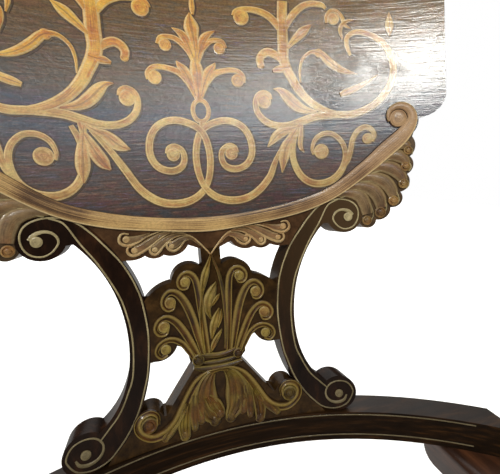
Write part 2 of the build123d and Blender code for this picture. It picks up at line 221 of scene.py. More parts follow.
def speckled(tree, coords, paint, low=0.62, high=1.32):
    # fine mottle of bare pores and pale rubbed spots in stain and paint alike;
    # real pores are finer than a pixel and are drawn 2 mm wide
    spots = marks(tree, coords, (2.38, 2.38, 1.563), detail=3, roughness=0.7)
    mottle = add_node(tree, "MapRange", {0: spots, "From Min": 0.32, "From Max": 0.68, "To Min": low,
                                         "To Max": high})
    return add_node(tree, "Mix", {FACTOR: 1.0, UNDER: paint, OVER: mottle}, data_type="RGBA",
                    blend_type="MULTIPLY")


def varnish_tint(tree, coords, tones):
    # the skin of old varnish colours what lies under it in short level patches
    pools = marks(tree, coords, (17.9, 17.9, 5), detail=3)
    return add_node(tree, "ValToRGB", {0: pools}, zip((0.38, 0.5, 0.62), tones))


VARNISH_HAZE = 0.16
CRACK_HAZE = 0.35
CRACK_GLOSS = 0.6


def broken_gloss(tree, coords):
    # the varnish has crazed in patches: thin wandering cracks where it no longer shines
    field = marks(tree, coords, (3.85, 3.85, 2.63), detail=2, distortion=1.2)
    crack = add_node(tree, "MapRange", {0: off_half(tree, field), "From Min": 0.01, "From Max": 0.035,
                                        "To Min": 1.0, "To Max": 0.0})
    much = add_node(tree, "Math", {0: crack, 1: crazed_here(tree, coords)}, operation="MULTIPLY")
    gloss = add_node(tree, "MapRange", {0: much, "To Min": 1.0, "To Max": CRACK_GLOSS})
    haze = add_node(tree, "MapRange", {0: much, "To Min": VARNISH_HAZE, "To Max": CRACK_HAZE})
    return gloss, haze


WANDER = 0.09  # how far the stain's levels wander up and down, m


# Stained hardwood under many coats of oil varnish: brown above, violet-blue where the stain
# pooled across the middle, red-brown below, with level grain and a wet gloss that breaks up
# on the brush marks.
def varnished_board():
    made, tree, shader, coords = new_finish("oil_varnished_stained_board")
    height = add_node(tree, "SeparateXYZ", {0: coords}).outputs["Z"]
    clouds = marks(tree, coords, (143, 143, 45.5), detail=4)
    wander = add_node(tree, "Math", {0: clouds, 1: WANDER, 2: height}, operation="MULTIPLY_ADD")
    band = add_node(tree, "MapRange", {0: wander, "From Min": level_above(60) + WANDER / 2,
                                       "From Max": level_above(260) + WANDER / 2})
    stain = add_node(tree, "ValToRGB", {0: band}, [
        (0.0, "#553a33"), (0.10, "#75503f"), (0.24, "#6f544c"), (0.38, "#5c5466"), (0.48, "#4b4a68"),
        (0.60, "#735a46"), (0.74, "#8c6940"), (1.0, "#a87c36")])
    grain = marks(tree, coords, (29.4, 16.7, 2.174), detail=8, roughness=0.75)
    figure = add_node(tree, "ValToRGB", {0: grain}, [(0.34, 0.34), (0.5, 0.55), (0.66, 0.84)])
    grained = add_node(tree, "Mix", {FACTOR: 1.0, UNDER: stain, OVER: figure}, data_type="RGBA",
                       blend_type="MULTIPLY")
    pools = varnish_tint(tree, coords, ("#543038", "#3c372c", "#1e4450"))
    # long rubbed streaks, some red-brown, some violet, and a mottle of spots and bare pores
    wear = marks(tree, coords, (20.8, 16.7, 1.786), detail=6, roughness=0.75)
    streak = add_node(tree, "ValToRGB", {0: wear}, [(0.54, 0.0), (0.66, 0.6)])
    hue = marks(tree, coords, (83, 83, 16.7), detail=2)
    streak_tone = add_node(tree, "ValToRGB", {0: hue}, [(0.42, "#90694f"), (0.5, "#8c7258"),
                                                        (0.58, "#74688a")])
    worn = layered(tree, grained, [(0.36, pools), (streak, streak_tone)])
    # the back of the board is bare walnut
    behind = add_node(tree, "MapRange", {0: across_bend(tree, coords)[0], "From Min": (BACK_R + 2) * MM,
                                         "From Max": (BACK_R + 4) * MM})
    bare = add_node(tree, "ValToRGB", {0: grain}, [(0.32, "#20130b"), (0.5, "#3c2415"), (0.7, "#5c3c24")])
    both_sides = layered(tree, speckled(tree, coords, worn), [(behind, bare)])
    gloss, haze = broken_gloss(tree, coords)
    feed(tree, shader, {"Base Color": both_sides, "Coat Normal": bent_grain(tree, coords),
                        "Coat Weight": gloss, "Coat Roughness": haze, "Roughness": 0.55,
                        "Specular IOR Level": 0.2})
    return made


def painted_warm_light(tree, coords):
    # painted light: the upper scrolls are painted warmer and redder, most of all on the left, where a warm
    # light falls
    high = fade(tree, coords, "Z", level_above(135), level_above(200))
    near = fade(tree, coords, "X", -0.08, 0.12, 1.0, 0.65)
    return add_node(tree, "Math", {0: high, 1: near}, operation="MULTIPLY")


def redder_end(tree, coords):
    # the band is darker and redder towards one end
    return fade(tree, coords, "X", 0.04, 0.17)


def worn_through(tree, coords):
    # worn through to the red-brown size in places
    spots = marks(tree, coords, (41.7, 41.7, 41.7), detail=4)
    return add_node(tree, "MapRange", {0: spots, "From Min": 0.46, "From Max": 0.60})


# Bronze powder brushed on along each stroke: streaks run with the stroke, a pale edge (painted highlight on
# the paint, rubbed gold on carving) and a dark painted shadow line beyond it, under the whole varnish (coat
# 1) or a rubbed trace of it.
# brush: streaks in 100 mm along the stroke and from edge to edge; patch: size of its clouds in mm;
# second: a second set of tones, laid where `where` says: painted warm light on the painted scrolls, wear on
# the carving, a darker, redder end on the band.
def brushed_gold(name, tones, edge, second=None, where=None, shadow_line="#2a1a12", coat=1.0, brush=(3, 11),
                 patch=22.2, stops=(0.38, 0.47, 0.58), edge_at=0.42, midrib=False, painted_highlight_crest=None, painted_shade_right=0.0,
                 browner_low=0.0):
    made, tree, shader, coords = new_finish(name)
    uv = add_node(tree, "UVMap", uv_map="stroke")
    streaks = marks(tree, uv, scale=(*brush, 1), detail=5, roughness=0.7)
    patches = marks(tree, coords, (patch, patch, patch), detail=3)
    both = add_node(tree, "Math", {0: streaks, 1: patches}, operation="ADD")
    half = add_node(tree, "Math", {0: both, 1: 0.5}, operation="MULTIPLY")
    layers = []
    if second:
        layers += [(where(tree, coords), add_node(tree, "ValToRGB", {0: half}, zip(stops, second)))]
    across = add_node(tree, "SeparateXYZ", {0: uv}).outputs["Y"]
    ragged = add_node(tree, "Math", {0: streaks, 1: 0.12, 2: off_half(tree, across)},
                      operation="MULTIPLY_ADD")
    if coat == 1.0:
        layers += [(0.28, varnish_tint(tree, coords, ("#b4693a", "#b48c4a", "#a89a4e")))]
    if midrib:
        layers += [(add_node(tree, "ValToRGB", {0: ragged}, [(0.085, 0.6), (0.15, 0.0)]), "#74492a")]
    if painted_highlight_crest:
        # a broad pale painted highlight along the outer side of a carved strand, a thin one on the inner
        wavering = add_node(tree, "Math", {0: streaks, 1: 0.10, 2: across}, operation="MULTIPLY_ADD")
        edges = add_node(tree, "ValToRGB", {0: wavering}, painted_highlight_crest)
    else:
        # a pale edge along each side: painted highlight on the paint, rubbed gold on carving
        edges = add_node(tree, "ValToRGB", {0: ragged}, [(edge_at - 0.10, 0.0), (edge_at - 0.01, 0.85),
                                                         (edge_at + 0.06, 0.7), (edge_at + 0.1, 0.0)])
    # painted shadow: a dark line round the very edge of each stroke and eye, where it meets the ground
    rim = add_node(tree, "ValToRGB", {0: ragged}, [(0.49, 0.0), (0.53, 0.9)])
    layers += [(edges, edge), (rim, shadow_line)]
    if browner_low:
        # the fine lines turn browner and darker low down
        layers += [(fade(tree, coords, "Z", level_above(-190), level_above(-60), browner_low, 0.0), "#33281a")]
    if painted_shade_right:
        # painted shade: the powder is painted darker and duller towards one end of the board
        layers += [(fade(tree, coords, "X", 0.0, 0.18, 0.0, painted_shade_right), "#5c4426")]
    paint = layered(tree, add_node(tree, "ValToRGB", {0: half}, zip(stops, tones)), layers)
    relief = add_node(tree, "Bump", {"Height": streaks, "Strength": 0.4, "Distance": 0.4 * MM})
    feed(tree, shader, {"Base Color": speckled(tree, coords, paint, 0.8, 1.17), "Normal": relief,
                        "Coat Normal": bent_grain(tree, coords, level=coat == 1.0), "Coat Weight": coat,
                        "Coat Roughness": VARNISH_HAZE, "Roughness": 0.5, "Specular IOR Level": 0.3})
    return made


# Hardwood blackened and french-polished, or walnut stained and waxed: a dark ground with a
# red-brown heart that shows where the polish is thin, and fine length-ways grain. marks_mm: size
# of a grain mark along x, y and z.
def polished_wood(name, tones, marks_mm, gloss=0.3, polish=0.12, painted_light_tone=None):
    made, tree, shader, coords = new_finish(name)
    grain = marks(tree, coords, marks_mm, detail=8, roughness=0.65)
    body = add_node(tree, "ValToRGB", {0: grain}, zip((0.32, 0.52, 0.72), tones))
    if painted_light_tone:
        # painted light: the upper right of the back is painted lighter brown, where the light falls more
        lit_side = fade(tree, coords, "X", 0.03, 0.16, 0.0, 0.6)
        upper = fade(tree, coords, "Z", level_above(-130), level_above(-30))
        both = add_node(tree, "Math", {0: lit_side, 1: upper}, operation="MULTIPLY")
        body = layered(tree, body, [(both, painted_light_tone)])
    rub = marks(tree, coords, (25, 25, 25), detail=3)
    matt = add_node(tree, "MapRange", {0: rub, "To Min": 0.28, "To Max": 0.5})
    relief = add_node(tree, "Bump", {"Height": grain, "Strength": 0.25, "Distance": 0.5 * MM})
    feed(tree, shader, {"Base Color": body, "Roughness": matt, "Normal": relief, "Coat Weight": polish,
                        "Coat Roughness": 0.2, "Specular IOR Level": gloss})
    return made


# the painted strokes' second tones are painted warm light, laid where painted_warm_light says
PAINTED = {"second": ("#a8561a", "#da8f2a", "#f4c046"), "where": painted_warm_light, "stops": (0.40, 0.48, 0.57)}
CARVED = {"where": worn_through, "coat": 0.25}
# painted highlight on the carved strands: a broad pale crest outside, a thin one inside
STRAND_HIGHLIGHT_CREST = [(0.08, 0), (0.14, 0.8), (0.21, 0.8), (0.27, 0), (0.52, 0), (0.66, 0.75), (0.84, 0.9), (0.97, 0.2)]

# bronze powder in varnish: warm and streaky on scrolls, ruddier with a drawn midrib on leaves,
# and the thin brown painted shadow beside both
gold_paint = brushed_gold(
    "bronze_powder_paint_brushed", ("#8c5c30", "#ba8e52", "#dec27c"), "#dcc084", painted_shade_right=0.28, **PAINTED)
leaf_paint = brushed_gold(
    "bronze_powder_leaf_with_midrib", ("#965c34", "#c68e54", "#e4c27e"), "#dcc084", midrib=True,
    painted_shade_right=0.35, **PAINTED)
cast_shadow_paint = brushed_gold("painted_shadow_under_scrolls", ("#2c1c16", "#3a271e", "#473226"), "#3a271e")
# old oil gilding on carved wood: brown in the hollows, rubbed paler on what stands up, with a painted
# shadow line round each edge
shell_gold = brushed_gold(
    "old_gold_on_shells", ("#4a381f", "#6a5233", "#866c48"), "#8f7a54",
    second=("#4e3420", "#745030", "#8e6a42"), shadow_line="#4a381f", **CARVED)
bead_gold = brushed_gold(
    "rubbed_gold_on_beads", ("#4c3a1e", "#7c6238", "#a4854e"), "#8a7044",
    second=("#5a361a", "#8a5c2e", "#a87a44"), **CARVED)
curl_gold = brushed_gold(
    "rubbed_gold_on_curls", ("#84683c", "#ac9060", "#c8b080"), "#c4ae80",
    second=("#7a5430", "#a67e4c", "#bc9a68"), **CARVED)
olive_gold = brushed_gold(
    "old_gold_on_carving", ("#2a1d0b", "#46340f", "#62501f"), "#8a7840",
    second=("#2a170b", "#4a2c12", "#684218"), edge_at=0.41, **CARVED)
strand_gold = brushed_gold(
    "old_gold_on_strands", ("#24140a", "#3e2810", "#5c4318"), "#8c7536",
    second=("#241209", "#44270f", "#623e1a"), painted_highlight_crest=STRAND_HIGHLIGHT_CREST, **CARVED)
bright_gold = brushed_gold(
    "rubbed_gold_on_leaves", ("#4a3814", "#7a6428", "#9c883f"), "#a3905a",
    second=("#47290f", "#75501f", "#94743a"), **CARVED)
leaf_gold = brushed_gold(
    "old_gold_on_broad_leaves", ("#2c1c0a", "#54401a", "#7c692b"), "#7c6a34",
    second=("#2e1a0b", "#563a1a", "#6f4a20"), edge_at=0.44, **CARVED)
# gold lining drawn thin, grey-gold, and browner and darker low down
line_gold = brushed_gold(
    "fine_gold_lining", ("#72664a", "#988960", "#b8a87e"), "#b0a074", coat=0.25, browner_low=0.68)
# water gilding burnished lengthwise: long pale streaks, and a painted highlight along the upper edge
band_gold = brushed_gold(
    "gilt_moulding_brushed_lengthwise", ("#4a3018", "#8e6c42", "#c8a468"), "#dcc08a",
    second=("#4c3420", "#8c6a48", "#b5926a"), where=redder_end, coat=0.25, brush=(0.9, 19), patch=125,
    stops=(0.43, 0.48, 0.55), painted_highlight_crest=[(0.05, 0.0), (0.09, 0.8), (0.15, 0.8), (0.2, 0.0)])
board_finish = varnished_board()

# the ebonised wood carries a painted light tone on the upper right
black_wood = polished_wood(
    "ebonised_and_french_polished", ("#0f0704", "#1f120a", "#3c2414"), (20, 20, 55.6), gloss=0.0,
    polish=0.22, painted_light_tone="#5c4830")
rail_wood = polished_wood(
    "ebonised_rail_lengthwise", ("#0e0804", "#1f1308", "#402914"), (100, 16.7, 3.85), gloss=0.15,
    polish=0.06)
# thin brown glaze left in the hollows of carving: dull and dark
GLAZE_MM = (14.3, 14.3, 14.3)
carved_ground = polished_wood(
    "dark_glaze_in_carving", ("#1e1208", "#35240f", "#4e361a"), GLAZE_MM, gloss=0.0, polish=0.25)
shell_ground = polished_wood(
    "brown_glaze_between_flutes", ("#35281a", "#4e3c28", "#665036"), GLAZE_MM, gloss=0.15, polish=0.06)
apron_ground = polished_wood(
    "brown_glaze_between_curls", ("#2e1c0d", "#48301b", "#614429"), GLAZE_MM, gloss=0.09, polish=0.04)
# waxed walnut, its grain along each part: up the staves, across the slats, front to back on the arms
stave_wood = polished_wood("waxed_walnut_staves", ("#1d100a", "#3a2113", "#5a3620"), (16.7, 16.7, 111))
slat_wood = polished_wood("waxed_walnut_slats", ("#21130b", "#432818", "#664026"), (111, 16.7, 16.7))
arm_wood = polished_wood("waxed_walnut_arms", ("#1c0f09", "#382012", "#5c3822"), (16.7, 111, 16.7))
turned_wood = polished_wood("turned_walnut", ("#180d08", "#301b10", "#4c2d1a"), (16.7, 83, 16.7))

# each node's finish, and how far its arrises are eased, in mm, so that they catch a thin light
NODE_FINISH = [
    ("stave_", stave_wood, 1.2), ("slat_", slat_wood, 0.9), ("arm_boss", turned_wood, 2.0),
    ("arm_", arm_wood, 2.0), ("foot_", arm_wood, 2.0), ("tablet", board_finish, 1.5),
    ("top_roll", board_finish, 0), ("edge_band", band_gold, 0), ("stile_", black_wood, 1.3),
    ("back_rail", rail_wood, 1.5), ("ruffle_", shell_ground, 0), ("apron_", apron_ground, 1.0),
    ("palmette_splat", carved_ground, 1.3), ("base_block", carved_ground, 1.3),
    ("rosette", turned_wood, 0.8), ("", turned_wood, 0)]
for name, node in nodes.items():
    material, arris = next(row[1:] for row in NODE_FINISH if name.startswith(row[0]))
    for entry in node.material_slots:
        entry.material = material
    if arris:
        eased = node.modifiers.new("eased_arris", "BEVEL")
        eased.width = arris * MM
        eased.segments = 2
        eased.limit_method = "ANGLE"
        eased.angle_limit = radians(50)


# ======== drawing strokes
def apart(a, b):
    return sqrt((b[0] - a[0]) ** 2 + (b[1] - a[1]) ** 2)


def smooth_path(points, step):
    # Catmull-Rom through (s, h, width); every point is passed
    ends = [tuple(2 * a - b for a, b in zip(points[0], points[1]))] + list(points)
    ends.append(tuple(2 * a - b for a, b in zip(points[-1], points[-2])))
    path = []
    for i in range(1, len(ends) - 2):
        p0, p1, p2, p3 = ends[i - 1:i + 3]
        count = max(1, ceil(apart(p1, p2) / step))
        for k in range(count):
            t = k / count
            path.append(tuple(0.5 * (2 * b + (c - a) * t + (2 * a - 5 * b + 4 * c - d) * t * t
                                     + (3 * b - a - 3 * c + d) * t ** 3)
                              for a, b, c, d in zip(p0, p1, p2, p3)))
    path.append(tuple(ends[-2]))
    return path


# cross-sections from edge to edge, in halves of the width and shares of the rise
PROFILES = {
    "round": [(-1, 0), (-0.86, 0.5), (-0.5, 0.87), (0, 1), (0.5, 0.87), (0.86, 0.5), (1, 0)],
    "paint": [(-1, 0), (-0.92, 0.5), (-0.65, 0.84), (-0.25, 0.98), (0.25, 0.98), (0.65, 0.84), (0.92, 0.5),
              (1, 0)],
    "band": [(-1, 0), (-0.93, 0.8), (-0.6, 0.97), (0, 1), (0.6, 0.97), (0.93, 0.8), (1, 0)],
    "leaf": [(-1, 0), (-0.85, 0.6), (-0.45, 1), (0, 0.62), (0.45, 1), (0.85, 0.6), (1, 0)],
    "fluted": [(-1, 0), (-0.88, 0.7), (-0.66, 0.9), (-0.5, 0.5), (-0.28, 0.95), (0, 0.45), (0.28, 0.95),
               (0.5, 0.5), (0.66, 0.9), (0.88, 0.7), (1, 0)],
    "strand": [(-1, 0), (-0.9, 0.6), (-0.72, 0.66), (-0.46, 0.3), (-0.2, 0.5), (0.15, 0.86), (0.5, 1),
               (0.84, 0.85), (1, 0)]}
# from the rim of an eye to its middle, in shares of the radius and the rise
DISC = [(1, 0), (0.96, 0.8), (0.8, 0.95), (0.5, 1)]
DOME = [(1, 0), (0.92, 0.5), (0.7, 0.75), (0.4, 0.8)]
BUTTON = [(1, 0), (0.94, 0.8), (0.76, 0.95), (0.62, 0.6), (0.5, 0.62), (0.42, 1), (0.25, 1.1)]
SHADE = 2  # which of a painted piece's finishes is the painted shadow line
SHADE_OFF = 0.6
SHADE_WIDER = 1.8
SHADE_RISE = 0.35
SINK = 0.6  # how deep each shape stands in the wood, mm
THINNEST = 0.25  # a stroke runs out at this width
FULL_RISE_W = 3.0  # narrower strokes stand lower
CROWN_V, RIM_V = 0.34, 0.5


# A brushed or carved stroke swells, curls and crosses others as no primitive or bevelled curve
# does, and its finish follows it along and across. So closed ribbons and round eyes are laid
# ring by ring through drawn points, with a UV of their own, and gathered in one mesh.
class Relief:
    def __init__(self, place=on_board, brush=1.0):
        self.place, self.brush = place, brush
        self.verts, self.faces, self.uvs, self.paints = [], [], [], []

    def ring(self, points, uv):
        self.verts += [self.place(*point) for point in points]
        self.uvs += uv
        return len(self.verts) - len(points)

    def close(self, rings, count, paint):
        for a, b in zip(rings, rings[1:]):
            for k in range(count):
                m = (k + 1) % count
                self.faces.append((a + k, a + m, b + m, b + k))
        self.faces.append(tuple(range(rings[0], rings[0] + count))[::-1])
        self.faces.append(tuple(range(rings[-1], rings[-1] + count)))
        self.paints += [paint] * (len(self.faces) - len(self.paints))

    def stroke(self, points, rise, profile="paint", side=1, lift=0.0, step=2.5, paint=0):
        # u runs along the stroke in steps of 100 mm, v from edge to edge
        shape = PROFILES[profile]
        path = smooth_path([(side * s, h, w) for s, h, w in points], step)
        along, rings = 0.0, []
        for i, (s, h, w) in enumerate(path):
            before, after = path[max(i - 1, 0)], path[min(i + 1, len(path) - 1)]
            length = apart(before, after) or 1.0
            ns, nh = -side * (after[1] - before[1]) / length, side * (after[0] - before[0]) / length
            if i:
                along += apart(path[i - 1], path[i])
            half = max(w * self.brush, THINNEST) / 2
            high = rise * min(1.0, half / (FULL_RISE_W / 2))
            over = lift(s, h) if callable(lift) else lift
            row = [(s + ns * half * t, h + nh * half * t, over + high * z) for t, z in shape]
            marked = [(along / 100, 0.5 + t / 2) for t, z in shape]
            row += [(*row[-1][:2], -SINK), (*row[0][:2], -SINK)]
            marked += [(along / 100, 1.0), (along / 100, 0.0)]
            rings.append(self.ring(row, marked))
        self.close(rings, len(shape) + 2, paint)

    def eye(self, s, h, radius, rise, side=1, lift=0.0, shape=DISC, paint=0, around=28):
        # a round end: v runs from the middle (0.5) to the rim (1)
        rings = []
        turns = [2 * pi * k / around for k in range(around)]
        for share, height in [(1.0, -SINK / rise)] + shape + [(0.02, shape[-1][1])]:
            out = (lift if height > 0 else 0.0) + height * rise
            row = [(side * s + radius * share * cos(turn), h + radius * share * sin(turn), out)
                   for turn in turns]
            v = 0.5 + share * (RIM_V if height <= 0 else CROWN_V)
            rings.append(self.ring(row, [(k / around, v) for k in range(around)]))
        self.close(rings, around, paint)

    def lobe(self, points, rise, profile, **how):
        # a leaf whose tip is round
        s, h, w = points[-1]
        self.stroke(points, rise, profile, **how)
        self.eye(s, h, w * self.brush / 2, rise, shape=DOME, around=16, **how)

    def strokes(self, drawn, *how, **more):
        for points in drawn:
            self.stroke(points, *how, **more)

    def eyes(self, places, *how, **more):
        for place in places:
            self.eye(*place, *how, **more)

    def shaded(self, points, rise, side=1, lift=0.0, paint=0):
        # painted shadow: a brown line low and to the right of each stroke, as a cast shadow, sets it off
        # from the board
        under = [(s + side * SHADE_OFF, h - SHADE_OFF, w * self.brush + SHADE_WIDER)
                 for s, h, w in points]
        brush, self.brush = self.brush, 1.0
        self.stroke(under, SHADE_RISE, side=side, paint=SHADE)
        self.brush = brush
        self.stroke(points, rise, side=side, lift=lift, paint=paint)

    def shaded_eye(self, s, h, radius, rise, side=1):
        self.eye(s + side * SHADE_OFF, h - SHADE_OFF, radius + SHADE_WIDER / 2, SHADE_RISE, side=side,
                 paint=SHADE)
        self.eye(s, h, radius, rise, side=side)

    def piece(self, name, materials, body):
        mesh = bpy.data.meshes.new(name)
        mesh.from_pydata(self.verts, [], self.faces)
        layer = mesh.uv_layers.new(name="stroke")
        for loop in mesh.loops:
            layer.data[loop.index].uv = self.uvs[loop.vertex_index]
        for material in materials:
            mesh.materials.append(material)
        mesh.polygons.foreach_set("material_index", self.paints)
        made = put_in_scene(name, mesh)
        bpy.ops.object.select_all(action="DESELECT")
        made.select_set(True)
        bpy.context.view_layer.objects.active = made
        bpy.ops.object.mode_set(mode="EDIT")
        bpy.ops.mesh.select_all(action="SELECT")
        bpy.ops.mesh.normals_make_consistent(inside=False)
        bpy.ops.object.mode_set(mode="OBJECT")
        bpy.ops.object.shade_smooth_by_angle(angle=radians(45))
        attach(made, body)
        return made


def swelled(points, share):
    return [(s, h, share * w) for s, h, w in points]


def over_at(centre, reach, height):
    # a strand that bridges another one where they cross
    def lift(s, h):
        away = apart(centre, (s, h)) / reach
        return height * (cos(pi * min(away, 1.0)) + 1) / 2
    return lift


# ======== painted tablet
# (s, h, width), right half; the left half is the same drawn the other way round
interlaced_strand = [
    (37, 114, 4), (35, 119.5, 5), (28.5, 121.5, 6), (21.5, 117, 7), (19.5, 109, 7.5), (22.5, 101, 8),
    (29.5, 97, 8.5), (38, 97, 8.5), (46.5, 101, 8.5), (52, 109, 8.5), (53.5, 119, 8.5), (51, 131, 8.5),
    (44.5, 140.5, 8.5), (34.5, 146, 8.5), (22.5, 147, 8.5), (10, 143.5, 8.5), (1.5, 138, 8.5),
    (-4, 129, 8.5), (-7, 115, 8.5), (-7, 101, 8.5), (-4.5, 88, 8), (0, 78, 8), (6, 71.5, 8.5),
    (14, 66.5, 9), (25, 63.5, 9.5), (37, 63.5, 9.5), (48.5, 66.5, 9.5), (58.5, 72.7, 9.5), (66.5, 80.5, 9)]
strand_end = {
    1: [(72.5, 88.5, 8.5), (76.5, 98, 7.5), (80.2, 106, 6), (84.5, 114, 4), (88, 120, 2)],
    -1: [(71.7, 88.3, 8.5), (76.8, 96.8, 8.5), (81.6, 104.4, 8), (86, 111.3, 7.5), (91, 118.5, 7),
         (98, 127.5, 6), (105, 136, 5)]}
# the painter's hand differs between the sides in the hanging leaves
leaf_cluster = {
    1: [[(109, 140, 4), (100, 137.1, 8.5), (90.1, 134.8, 12), (81.4, 129.7, 12), (75.4, 123.3, 7),
         (70.8, 118.7, 1)],
        [(108, 142, 4), (104.3, 136.9, 6), (98.1, 127.8, 9.5), (91.4, 117.3, 14), (88.5, 107.9, 15),
         (87.2, 99.8, 9), (85.5, 90.3, 1)],
        [(110, 141, 5), (108.7, 128.7, 7), (107.6, 120.6, 6.5), (108.7, 115.1, 5), (111.6, 111.4, 1)]],
    -1: [[(109, 140, 4), (99.8, 134.5, 8), (91.4, 130.3, 12), (83.3, 123.2, 14), (76.8, 119.8, 9),
          (71.7, 118.5, 1.5)],
         [(114, 142, 4), (111.3, 132.5, 7), (106.5, 122.5, 12), (101.7, 113, 15), (96, 104.8, 13),
          (91, 98.8, 2)],
         [(110, 140, 5), (112.5, 126, 9), (114, 112.8, 14), (114.5, 102.1, 15), (115, 93, 9),
          (115.5, 87, 2)]]}
big_stem = [
    (77.5, 169, 4), (76, 174, 5), (70, 176.5, 6), (63, 172.5, 7), (60.5, 164, 7.5), (63, 154, 8),
    (71, 145.5, 8.5), (83, 141, 8.5), (97, 141, 9), (112, 145, 10), (127, 149, 10), (148, 150, 9),
    (168, 149.5, 9), (186, 155, 9), (200, 164.5, 9), (210, 178, 9), (214, 194, 8.5), (211, 210, 8.5),
    (203, 223, 8), (190, 232, 7.5), (176, 236, 7), (166, 232, 6.5), (164.5, 223, 6), (168, 212, 4)]
trunk = [
    (96, 270, 13), (95, 255, 13), (94.5, 240, 13.5), (94.5, 225, 14), (94, 212, 13.5), (97, 201, 12.5),
    (102, 191, 11.5), (108, 180, 11), (117, 169, 10), (128, 160, 9.5), (141, 153.5, 8), (154, 150.5, 5)]
side_leaves = [
    [(128, 154, 3), (113, 157.5, 11), (103, 164, 14.5), (95, 172.5, 13.5), (88.5, 178, 8), (81, 180, 1)],
    [(101, 202.5, 7), (93, 201, 9.5), (87, 200, 8.5), (81.5, 198.3, 4)],
    [(99, 222, 4), (107, 230, 9), (116, 238, 12), (122, 242.5, 8), (127, 246, 0.6)],
    [(111.5, 186, 2), (111.5, 199, 3.5), (115, 210, 4), (124, 217, 5), (135, 215.5, 9), (144, 207, 10.5),
     (153, 200, 9.5), (162, 195.5, 7), (175, 192, 0.6)],
    [(155, 171, 5), (161, 173, 8.5), (170, 176, 8.5), (180, 180, 6.5), (190, 185, 3.5), (197, 190, 0.6)],
    [(211, 229, 2), (211, 237, 10), (211, 244, 9.5), (211, 254, 0.6)],
    [(160, 229, 2), (158, 240, 6), (164, 247, 5), (174, 249, 0.6)]]
hook = [
    (96, 203, 5), (90.5, 211, 8.5), (84, 216, 10), (77, 218.2, 10.5), (71, 215.3, 10.5), (68, 210.3, 10),
    (68.8, 205, 9)]
top_left_branch = [
    (94, 236, 5), (89, 246, 9), (80, 255, 9), (68, 260, 8), (55, 261, 7), (45, 259, 5), (42, 254, 4)]
top_right_branch = [(96, 238, 5), (102, 250, 9), (112, 261, 9), (124, 267, 8), (138, 266, 7), (143, 262, 4)]
top_volute = [
    (143.5, 247, 4), (143.5, 254, 5), (149, 259.5, 5), (156, 258, 5), (161, 251, 5.5), (163, 244, 5),
    (170, 240, 1)]
lower_circle = [
    (107, 139, 5), (101, 126, 7.5), (98.5, 112, 8), (100.5, 98, 8.5), (107.5, 85, 9), (118, 77.5, 9.5),
    (130, 75.8, 9.5), (142, 79, 9.5), (151.5, 87, 9), (157, 98, 8), (158, 110, 7), (154, 121, 6.5),
    (145, 129, 6.5), (134, 130, 6.5), (125, 124.5, 6), (121, 115, 4.5), (122, 108, 3)]
lower_branch = [
    (152, 90, 5), (160, 99, 7), (164, 110, 7), (167, 122, 7), (173, 131, 7), (181, 134.5, 7),
    (188, 131.5, 6.5), (191, 125, 6), (188.5, 118.5, 4)]
strand_eye = (30.5, 113, 6.8)
high_eyes = [(70, 167, 7.8), (151, 251, 6.5), (50.5, 253, 8.5), (133.5, 216, 4.8)]
low_eyes = [(131, 111, 8.4), (183.5, 122, 6)]

palmette_arm_low = [
    (2.5, 168, 3), (5.5, 178, 6), (10, 187, 9), (17, 194, 8.5), (26, 197.5, 7), (36, 199, 6.5),
    (44, 197.5, 6.5), (49, 192, 6), (49, 186, 4)]
palmette_leaflets = [
    [(3, 172, 6), (7.5, 186, 12), (12.5, 196, 12), (17.5, 202, 7), (20, 206, 1)],
    [(1, 204, 6), (5.5, 219, 11), (11.5, 231, 10), (22, 238, 0.6)]]
palmette_arm_high = [
    (2, 203, 4), (5, 213, 6), (10, 221, 7), (17, 227, 6.5), (24, 228.5, 6), (31, 227, 5.5), (34, 221, 4)]
palmette_buds = [
    [(0, 168, 7), (0, 182, 13), (0, 196, 16), (-1, 205, 12), (-2, 214, 0.6)],
    [(0, 200, 6), (0, 216, 10), (-1, 230, 13), (-2, 239, 18), (-3, 246, 13), (-3, 254, 0.6)],
    [(0, 252, 3), (0, 259, 7), (0, 268, 5), (0, 276, 0.6)]]
low_arm_eye = (42.5, 188.5, 7)
high_arm_eye = (27, 220.5, 6.2)
ARM_REACH = {-1: 1.1, 1: 0.94}  # the upper arms reach further on the left
TRUNK_SWELL = {-1: 1.22, 1: 1.0}
LEFT_FURTHER = 14  # the low scrolls stand further out on the left, less so past s = 150
OUTER_PART = 150
DRAWN_BACK = 0.15

PAINT = 1.1  # body of the gold paint above the board, mm
BRUSH = 0.96  # width of the brushed strokes against the drawn ones
EYE_PAINT = PAINT + 0.1
TRUNK_PAINT = PAINT + 0.2
LEAFLET_PAINT = PAINT + 0.15
LEAF_PAINT = PAINT + 0.25
BUD_PAINT = PAINT + 0.3
LEAF = 1  # which of a painted piece's finishes has the drawn midrib
BRIDGE = {-1: (0, 139), 1: (0, 77)}  # where each side's strand crosses over the other's
BRIDGE_REACH, BRIDGE_RISE = 22, 0.5
HOOK_END_R = 4.3
RING_AT, RING_HALF, RING_W = (1.2, 157), (8.2, 10.8), 5.6
painted = (gold_paint, leaf_paint, cast_shadow_paint)


def further_out(points, side):
    if side > 0:
        return points
    return [(s + LEFT_FURTHER - DRAWN_BACK * max(0, s - OUTER_PART), h, w) for s, h, w in points]


scrolls = Relief(brush=BRUSH)
for side, hand in SIDES:
    bridge = over_at(BRIDGE[side], BRIDGE_REACH, BRIDGE_RISE)
    scrolls.shaded(interlaced_strand + strand_end[side], PAINT, side=side, lift=bridge)
    scrolls.shaded_eye(*strand_eye, EYE_PAINT, side=side)
ring = [(RING_AT[0] + RING_HALF[0] * sin(turn), RING_AT[1] - RING_HALF[1] * cos(turn), RING_W)
        for turn in (2 * pi * k / 24 for k in range(25))]
scrolls.stroke(ring, TRUNK_PAINT, step=2)
scrolls.stroke([(1, 148, 4), (0.5, 144, 5), (0, 139, 1)], BUD_PAINT)
scrolls.piece("interlaced_scrolls", painted, "back")

